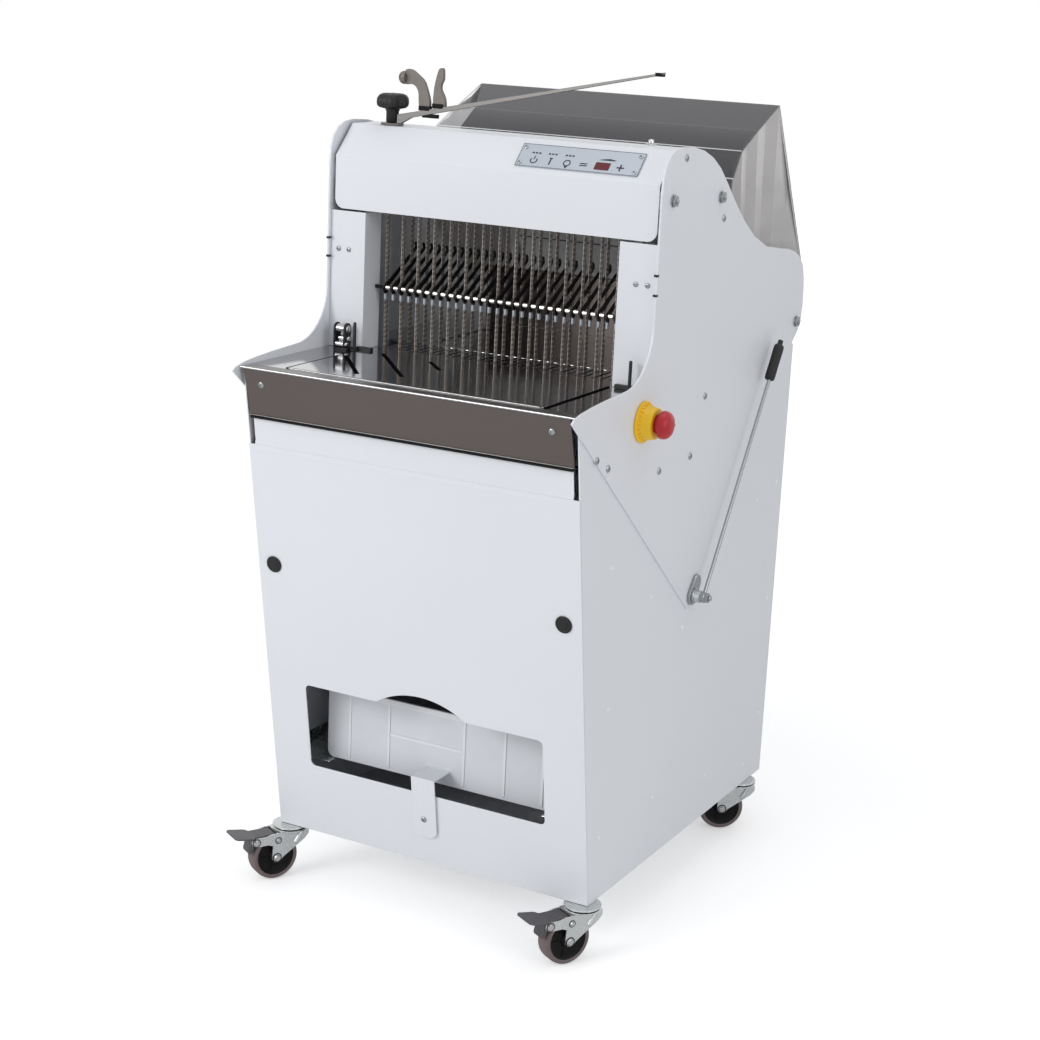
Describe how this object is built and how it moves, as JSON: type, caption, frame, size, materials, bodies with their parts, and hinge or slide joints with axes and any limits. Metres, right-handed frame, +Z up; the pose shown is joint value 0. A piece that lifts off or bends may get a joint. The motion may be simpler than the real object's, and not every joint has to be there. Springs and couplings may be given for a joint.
{
  "type": "floor-standing bread slicer",
  "caption": "Floor-standing bread slicer on casters with reciprocating blade frames, a side feed lever, hold-down comb, hinged smoked cover and crumb drawer.",
  "frame": {"origin": "centre of the bounding box, on the floor under the casters", "axes": "+Z up, -Y the front with the fascia and the drawer, +X the viewer's right when facing the front, where the lever is"},
  "size_m": [0.6466, 0.8264, 1.2635],
  "materials": {
    "white_paint": "satin bluish white",
    "brushed_steel": "brushed",
    "polished_steel": "polished",
    "zinc": "zinc plated",
    "dark_steel": "dark satin",
    "black_plastic": "matte black",
    "grey_plastic": "light grey",
    "cast_grey": "grey paint",
    "tyre_grey": "dark grey",
    "yellow": "yellow",
    "red": "red",
    "smoked": "smoked clear",
    "belt_black": "matte"
  },
  "bodies": {
    "cabinet": {"base_plate": "white_paint", "side_panel_right": "white_paint", "side_panel_left": "white_paint", "rear_panel": "white_paint", "front_panel": "white_paint", "plug_right": "black_plastic", "plug_left": "black_plastic", "upper_plate_right": "white_paint", "upper_plate_left": "white_paint", "tie_bar_front": "zinc", "tie_bar_rear": "zinc", "tie_bar_hinge": "zinc", "column_right": "white_paint", "column_left": "white_paint", "hood": "white_paint", "control_plate": "grey_plastic", "front_table": "polished_steel", "table_inlay": "polished_steel", "rear_table": "polished_steel", "fascia": "brushed_steel", "roller_bracket": "polished_steel", "table_pin_left": "black_plastic", "table_pin_right": "black_plastic", "guide_rods_right": "zinc", "guide_rods_left": "zinc", "drive_beam": "cast_grey", "motor": "cast_grey", "drive_belt": "belt_black", "drawer_runner_right": "zinc", "drawer_runner_left": "zinc", "stop_collar": "yellow"},
    "blade_frame_front": {"blade_frame_front": "polished_steel"},
    "blade_frame_rear": {"blade_frame_rear": "polished_steel"},
    "connecting_rod_front": {"connecting_rod_front": "cast_grey"},
    "connecting_rod_rear": {"connecting_rod_rear": "cast_grey"},
    "crankshaft": {"crankshaft": "zinc"},
    "motor_pulley": {"motor_pulley": "cast_grey"},
    "lever": {"lever_shaft": "zinc", "lever_rod": "zinc", "lever_grip": "black_plastic"},
    "pusher": {"pusher": "brushed_steel"},
    "hold_down_comb": {"hold_down_comb": "dark_steel"},
    "rear_cover": {"rear_cover": "smoked"},
    "swivel_arm": {"swivel_arm": "polished_steel", "arm_horn_left": "dark_steel", "arm_horn_right": "dark_steel"},
    "star_knob": {"star_knob": "black_plastic"},
    "crumb_drawer": {"crumb_drawer": "grey_plastic", "drawer_tab": "white_paint"},
    "stop_button": {"stop_button": "red"},
    "caster_front_right_fork": {"caster_front_right_fork": "zinc"},
    "caster_front_right_wheel": {"caster_front_right_wheel": "tyre_grey"},
    "caster_front_right_brake": {"caster_front_right_brake": "zinc"},
    "caster_front_left_fork": {"caster_front_left_fork": "zinc"},
    "caster_front_left_wheel": {"caster_front_left_wheel": "tyre_grey"},
    "caster_front_left_brake": {"caster_front_left_brake": "zinc"},
    "caster_rear_right_fork": {"caster_rear_right_fork": "zinc"},
    "caster_rear_right_wheel": {"caster_rear_right_wheel": "tyre_grey"},
    "caster_rear_left_fork": {"caster_rear_left_fork": "zinc"},
    "caster_rear_left_wheel": {"caster_rear_left_wheel": "tyre_grey"}
  },
  "joints": [
    {"name": "front_blades_stroke", "type": "slide", "parent": "cabinet", "child": "blade_frame_front", "axis": [0, 0, 1], "range_m": [-0.02, 0.02]},
    {"name": "rear_blades_stroke", "type": "slide", "parent": "cabinet", "child": "blade_frame_rear", "axis": [0, 0, 1], "range_m": [-0.02, 0.02]},
    {"name": "front_rod_swing", "type": "hinge", "parent": "blade_frame_front", "child": "connecting_rod_front", "pos_m": [-0.22729, -0.1172, 0.757], "axis": [1, 0, 0], "range_deg": [0, 11.7]},
    {"name": "rear_rod_swing", "type": "hinge", "parent": "blade_frame_rear", "child": "connecting_rod_rear", "pos_m": [0.2367, -0.0772, 0.757], "axis": [1, 0, 0], "range_deg": [-11.7, 0]},
    {"name": "crank_turn", "type": "hinge", "parent": "cabinet", "child": "crankshaft", "pos_m": [0.0047, -0.0972, 0.56], "axis": [1, 0, 0], "continuous": true},
    {"name": "motor_pulley_turn", "type": "hinge", "parent": "cabinet", "child": "motor_pulley", "pos_m": [0.0047, -0.0972, 0.4437], "axis": [1, 0, 0], "continuous": true},
    {"name": "lever_turn", "type": "hinge", "parent": "cabinet", "child": "lever", "pos_m": [0.0047, 0.0148, 0.487], "axis": [1, 0, 0], "range_deg": [0, 60]},
    {"name": "pusher_feed", "type": "slide", "parent": "cabinet", "child": "pusher", "axis": [0, -1, 0], "range_m": [0, 0.22]},
    {"name": "comb_tilt", "type": "hinge", "parent": "cabinet", "child": "hold_down_comb", "pos_m": [0.0047, -0.1382, 0.922], "axis": [1, 0, 0], "range_deg": [-25, 20]},
    {"name": "cover_open", "type": "hinge", "parent": "cabinet", "child": "rear_cover", "pos_m": [0.0047, 0.3658, 0.864], "axis": [-1, 0, 0], "range_deg": [0, 65]},
    {"name": "arm_swing", "type": "hinge", "parent": "cabinet", "child": "swivel_arm", "pos_m": [-0.2003, -0.1122, 1.16], "axis": [0, 0, 1], "range_deg": [-90, 0]},
    {"name": "knob_turn", "type": "hinge", "parent": "swivel_arm", "child": "star_knob", "pos_m": [-0.2003, -0.1122, 1.197], "axis": [0, 0, 1], "continuous": true},
    {"name": "drawer_slide", "type": "slide", "parent": "cabinet", "child": "crumb_drawer", "axis": [0, -1, 0], "range_m": [0, 0.3]},
    {"name": "stop_press", "type": "slide", "parent": "cabinet", "child": "stop_button", "axis": [-1, 0, 0], "range_m": [0, 0.005]},
    {"name": "caster_front_right_swivel", "type": "hinge", "parent": "cabinet", "child": "caster_front_right_fork", "pos_m": [0.26271, -0.2692, 0.08], "axis": [0, 0, 1], "continuous": true},
    {"name": "caster_front_right_roll", "type": "hinge", "parent": "caster_front_right_fork", "child": "caster_front_right_wheel", "pos_m": [0.24771, -0.29518, 0.0375], "axis": [-0.866, 0.5, 0], "continuous": true},
    {"name": "caster_front_right_brake_press", "type": "hinge", "parent": "caster_front_right_fork", "child": "caster_front_right_brake", "pos_m": [0.2302, -0.32549, 0.068], "axis": [0.866, -0.5, 0], "range_deg": [0, 13]},
    {"name": "caster_front_left_swivel", "type": "hinge", "parent": "cabinet", "child": "caster_front_left_fork", "pos_m": [-0.25329, -0.2692, 0.08], "axis": [0, 0, 1], "continuous": true},
    {"name": "caster_front_left_roll", "type": "hinge", "parent": "caster_front_left_fork", "child": "caster_front_left_wheel", "pos_m": [-0.2683, -0.29518, 0.0375], "axis": [-0.866, 0.5, 0], "continuous": true},
    {"name": "caster_front_left_brake_press", "type": "hinge", "parent": "caster_front_left_fork", "child": "caster_front_left_brake", "pos_m": [-0.2858, -0.32549, 0.068], "axis": [0.866, -0.5, 0], "range_deg": [0, 13]},
    {"name": "caster_rear_right_swivel", "type": "hinge", "parent": "cabinet", "child": "caster_rear_right_fork", "pos_m": [0.26271, 0.3128, 0.08], "axis": [0, 0, 1], "continuous": true},
    {"name": "caster_rear_right_roll", "type": "hinge", "parent": "caster_rear_right_fork", "child": "caster_rear_right_wheel", "pos_m": [0.23813, 0.29559, 0.0375], "axis": [-0.5736, 0.8192, 0], "continuous": true},
    {"name": "caster_rear_left_swivel", "type": "hinge", "parent": "cabinet", "child": "caster_rear_left_fork", "pos_m": [-0.25329, 0.3128, 0.08], "axis": [0, 0, 1], "continuous": true},
    {"name": "caster_rear_left_roll", "type": "hinge", "parent": "caster_rear_left_fork", "child": "caster_rear_left_wheel", "pos_m": [-0.27787, 0.29559, 0.0375], "axis": [-0.5736, 0.8192, 0], "continuous": true}
  ],
  "couplings": [
    {"joint": "rear_blades_stroke", "follows": "front_blades_stroke", "ratio": -1},
    {"joint": "pusher_feed", "follows": "lever_turn", "m_per_rad": 0.21008},
    {"joint": "motor_pulley_turn", "follows": "crank_turn", "ratio": 1.8}
  ]
}
